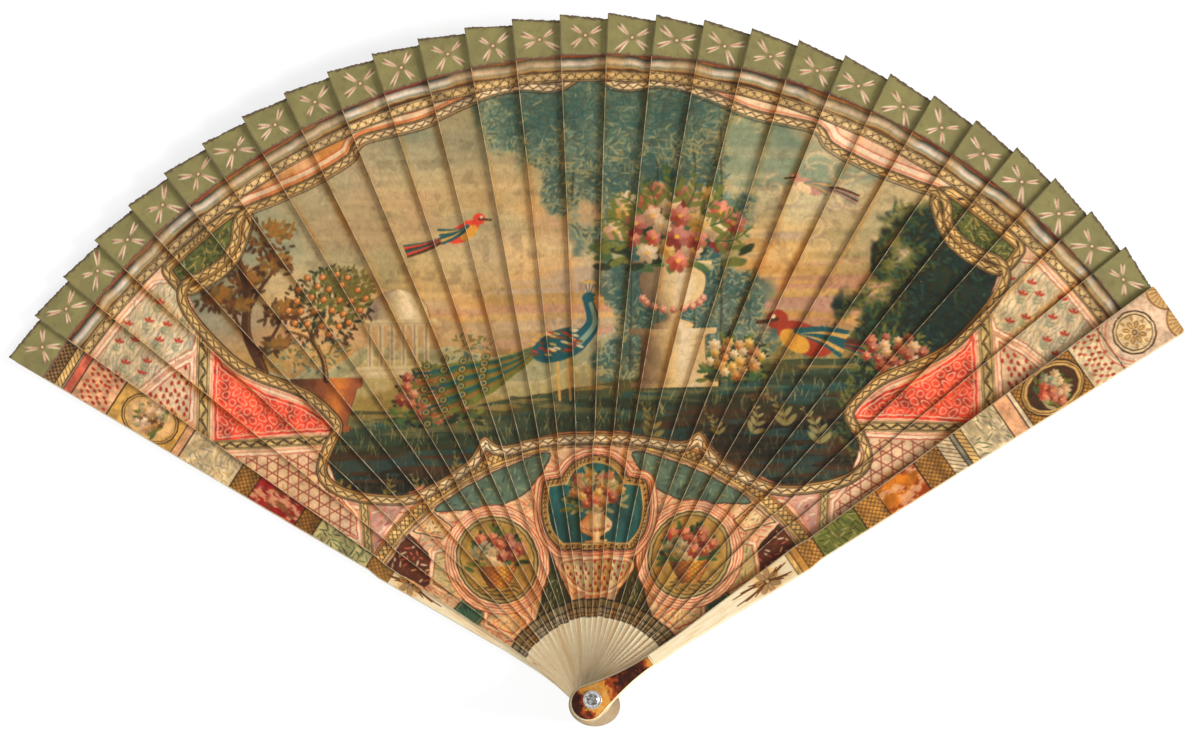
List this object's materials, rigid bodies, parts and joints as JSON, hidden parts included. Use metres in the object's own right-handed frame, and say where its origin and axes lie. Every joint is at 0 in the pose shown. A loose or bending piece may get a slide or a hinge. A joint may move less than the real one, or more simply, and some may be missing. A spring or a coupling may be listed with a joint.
{
  "type": "brise folding fan",
  "caption": "Painted brise fan: thin ivory blades that turn on one jewelled rivet between two guards, their tips linked by a green silk ribbon.",
  "frame": {"origin": "on the axis of the rivet, at the flat rear face of the rivet and of the back guard", "axes": "+Z along the rivet towards the painted front, +Y along the middle of the open fan towards the tips, +X towards the front guard"},
  "size_m": [0.3525, 0.2139, 0.0248],
  "materials": {
    "ivory": "varnished and painted ivory, warm cream where bare",
    "silk": "faded sage green silk ribbon, stitched and painted",
    "tortoiseshell": "polished, amber mottled with dark brown",
    "silver": "polished, lightly tarnished silver",
    "paste": "clear faceted paste"
  },
  "bodies": {
    "back_guard": {"back_guard": "ivory", "ribbon_00": "silk", "rivet": "silver", "paste_stone": "paste"},
    "stick_01": {"stick_01": "ivory", "ribbon_01": "silk"},
    "stick_02": {"stick_02": "ivory", "ribbon_02": "silk"},
    "stick_03": {"stick_03": "ivory", "ribbon_03": "silk"},
    "stick_04": {"stick_04": "ivory", "ribbon_04": "silk"},
    "stick_05": {"stick_05": "ivory", "ribbon_05": "silk"},
    "stick_06": {"stick_06": "ivory", "ribbon_06": "silk"},
    "stick_07": {"stick_07": "ivory", "ribbon_07": "silk"},
    "stick_08": {"stick_08": "ivory", "ribbon_08": "silk"},
    "stick_09": {"stick_09": "ivory", "ribbon_09": "silk"},
    "stick_10": {"stick_10": "ivory", "ribbon_10": "silk"},
    "stick_11": {"stick_11": "ivory", "ribbon_11": "silk"},
    "stick_12": {"stick_12": "ivory", "ribbon_12": "silk"},
    "stick_13": {"stick_13": "ivory", "ribbon_13": "silk"},
    "stick_14": {"stick_14": "ivory", "ribbon_14": "silk"},
    "stick_15": {"stick_15": "ivory", "ribbon_15": "silk"},
    "stick_16": {"stick_16": "ivory", "ribbon_16": "silk"},
    "stick_17": {"stick_17": "ivory", "ribbon_17": "silk"},
    "stick_18": {"stick_18": "ivory", "ribbon_18": "silk"},
    "stick_19": {"stick_19": "ivory", "ribbon_19": "silk"},
    "stick_20": {"stick_20": "ivory", "ribbon_20": "silk"},
    "stick_21": {"stick_21": "ivory", "ribbon_21": "silk"},
    "stick_22": {"stick_22": "ivory", "ribbon_22": "silk"},
    "stick_23": {"stick_23": "ivory", "ribbon_23": "silk"},
    "stick_24": {"stick_24": "ivory", "ribbon_24": "silk"},
    "stick_25": {"stick_25": "ivory", "ribbon_25": "silk"},
    "stick_26": {"stick_26": "ivory", "ribbon_26": "silk"},
    "stick_27": {"stick_27": "ivory", "ribbon_27": "silk"},
    "front_guard": {"front_guard": "ivory", "front_guard_shell": "tortoiseshell"}
  },
  "joints": [
    {"name": "fan_fold", "type": "hinge", "parent": "back_guard", "child": "front_guard", "pos_m": [0, 0, 0], "axis": [0, 0, 1], "range_deg": [0, 113.4]},
    {"name": "stick_01_turn", "type": "hinge", "parent": "back_guard", "child": "stick_01", "pos_m": [0, 0, 0], "axis": [0, 0, 1], "range_deg": [0, 4.06]},
    {"name": "stick_02_turn", "type": "hinge", "parent": "back_guard", "child": "stick_02", "pos_m": [0, 0, 0], "axis": [0, 0, 1], "range_deg": [0, 8.11]},
    {"name": "stick_03_turn", "type": "hinge", "parent": "back_guard", "child": "stick_03", "pos_m": [0, 0, 0], "axis": [0, 0, 1], "range_deg": [0, 12.16]},
    {"name": "stick_04_turn", "type": "hinge", "parent": "back_guard", "child": "stick_04", "pos_m": [0, 0, 0], "axis": [0, 0, 1], "range_deg": [0, 16.21]},
    {"name": "stick_05_turn", "type": "hinge", "parent": "back_guard", "child": "stick_05", "pos_m": [0, 0, 0], "axis": [0, 0, 1], "range_deg": [0, 20.26]},
    {"name": "stick_06_turn", "type": "hinge", "parent": "back_guard", "child": "stick_06", "pos_m": [0, 0, 0], "axis": [0, 0, 1], "range_deg": [0, 24.31]},
    {"name": "stick_07_turn", "type": "hinge", "parent": "back_guard", "child": "stick_07", "pos_m": [0, 0, 0], "axis": [0, 0, 1], "range_deg": [0, 28.36]},
    {"name": "stick_08_turn", "type": "hinge", "parent": "back_guard", "child": "stick_08", "pos_m": [0, 0, 0], "axis": [0, 0, 1], "range_deg": [0, 32.41]},
    {"name": "stick_09_turn", "type": "hinge", "parent": "back_guard", "child": "stick_09", "pos_m": [0, 0, 0], "axis": [0, 0, 1], "range_deg": [0, 36.46]},
    {"name": "stick_10_turn", "type": "hinge", "parent": "back_guard", "child": "stick_10", "pos_m": [0, 0, 0], "axis": [0, 0, 1], "range_deg": [0, 40.51]},
    {"name": "stick_11_turn", "type": "hinge", "parent": "back_guard", "child": "stick_11", "pos_m": [0, 0, 0], "axis": [0, 0, 1], "range_deg": [0, 44.56]},
    {"name": "stick_12_turn", "type": "hinge", "parent": "back_guard", "child": "stick_12", "pos_m": [0, 0, 0], "axis": [0, 0, 1], "range_deg": [0, 48.61]},
    {"name": "stick_13_turn", "type": "hinge", "parent": "back_guard", "child": "stick_13", "pos_m": [0, 0, 0], "axis": [0, 0, 1], "range_deg": [0, 52.66]},
    {"name": "stick_14_turn", "type": "hinge", "parent": "back_guard", "child": "stick_14", "pos_m": [0, 0, 0], "axis": [0, 0, 1], "range_deg": [0, 56.71]},
    {"name": "stick_15_turn", "type": "hinge", "parent": "back_guard", "child": "stick_15", "pos_m": [0, 0, 0], "axis": [0, 0, 1], "range_deg": [0, 60.76]},
    {"name": "stick_16_turn", "type": "hinge", "parent": "back_guard", "child": "stick_16", "pos_m": [0, 0, 0], "axis": [0, 0, 1], "range_deg": [0, 64.81]},
    {"name": "stick_17_turn", "type": "hinge", "parent": "back_guard", "child": "stick_17", "pos_m": [0, 0, 0], "axis": [0, 0, 1], "range_deg": [0, 68.86]},
    {"name": "stick_18_turn", "type": "hinge", "parent": "back_guard", "child": "stick_18", "pos_m": [0, 0, 0], "axis": [0, 0, 1], "range_deg": [0, 72.91]},
    {"name": "stick_19_turn", "type": "hinge", "parent": "back_guard", "child": "stick_19", "pos_m": [0, 0, 0], "axis": [0, 0, 1], "range_deg": [0, 76.96]},
    {"name": "stick_20_turn", "type": "hinge", "parent": "back_guard", "child": "stick_20", "pos_m": [0, 0, 0], "axis": [0, 0, 1], "range_deg": [0, 81.01]},
    {"name": "stick_21_turn", "type": "hinge", "parent": "back_guard", "child": "stick_21", "pos_m": [0, 0, 0], "axis": [0, 0, 1], "range_deg": [0, 85.06]},
    {"name": "stick_22_turn", "type": "hinge", "parent": "back_guard", "child": "stick_22", "pos_m": [0, 0, 0], "axis": [0, 0, 1], "range_deg": [0, 89.11]},
    {"name": "stick_23_turn", "type": "hinge", "parent": "back_guard", "child": "stick_23", "pos_m": [0, 0, 0], "axis": [0, 0, 1], "range_deg": [0, 93.16]},
    {"name": "stick_24_turn", "type": "hinge", "parent": "back_guard", "child": "stick_24", "pos_m": [0, 0, 0], "axis": [0, 0, 1], "range_deg": [0, 97.21]},
    {"name": "stick_25_turn", "type": "hinge", "parent": "back_guard", "child": "stick_25", "pos_m": [0, 0, 0], "axis": [0, 0, 1], "range_deg": [0, 101.26]},
    {"name": "stick_26_turn", "type": "hinge", "parent": "back_guard", "child": "stick_26", "pos_m": [0, 0, 0], "axis": [0, 0, 1], "range_deg": [0, 105.31]},
    {"name": "stick_27_turn", "type": "hinge", "parent": "back_guard", "child": "stick_27", "pos_m": [0, 0, 0], "axis": [0, 0, 1], "range_deg": [0, 109.36]}
  ],
  "couplings": [
    {"joint": "stick_01_turn", "follows": "fan_fold", "ratio": 0.035714},
    {"joint": "stick_02_turn", "follows": "fan_fold", "ratio": 0.071429},
    {"joint": "stick_03_turn", "follows": "fan_fold", "ratio": 0.10714},
    {"joint": "stick_04_turn", "follows": "fan_fold", "ratio": 0.14286},
    {"joint": "stick_05_turn", "follows": "fan_fold", "ratio": 0.17857},
    {"joint": "stick_06_turn", "follows": "fan_fold", "ratio": 0.21429},
    {"joint": "stick_07_turn", "follows": "fan_fold", "ratio": 0.25},
    {"joint": "stick_08_turn", "follows": "fan_fold", "ratio": 0.28571},
    {"joint": "stick_09_turn", "follows": "fan_fold", "ratio": 0.32143},
    {"joint": "stick_10_turn", "follows": "fan_fold", "ratio": 0.35714},
    {"joint": "stick_11_turn", "follows": "fan_fold", "ratio": 0.39286},
    {"joint": "stick_12_turn", "follows": "fan_fold", "ratio": 0.42857},
    {"joint": "stick_13_turn", "follows": "fan_fold", "ratio": 0.46429},
    {"joint": "stick_14_turn", "follows": "fan_fold", "ratio": 0.5},
    {"joint": "stick_15_turn", "follows": "fan_fold", "ratio": 0.53571},
    {"joint": "stick_16_turn", "follows": "fan_fold", "ratio": 0.57143},
    {"joint": "stick_17_turn", "follows": "fan_fold", "ratio": 0.60714},
    {"joint": "stick_18_turn", "follows": "fan_fold", "ratio": 0.64286},
    {"joint": "stick_19_turn", "follows": "fan_fold", "ratio": 0.67857},
    {"joint": "stick_20_turn", "follows": "fan_fold", "ratio": 0.71429},
    {"joint": "stick_21_turn", "follows": "fan_fold", "ratio": 0.75},
    {"joint": "stick_22_turn", "follows": "fan_fold", "ratio": 0.78571},
    {"joint": "stick_23_turn", "follows": "fan_fold", "ratio": 0.82143},
    {"joint": "stick_24_turn", "follows": "fan_fold", "ratio": 0.85714},
    {"joint": "stick_25_turn", "follows": "fan_fold", "ratio": 0.89286},
    {"joint": "stick_26_turn", "follows": "fan_fold", "ratio": 0.92857},
    {"joint": "stick_27_turn", "follows": "fan_fold", "ratio": 0.96429}
  ]
}
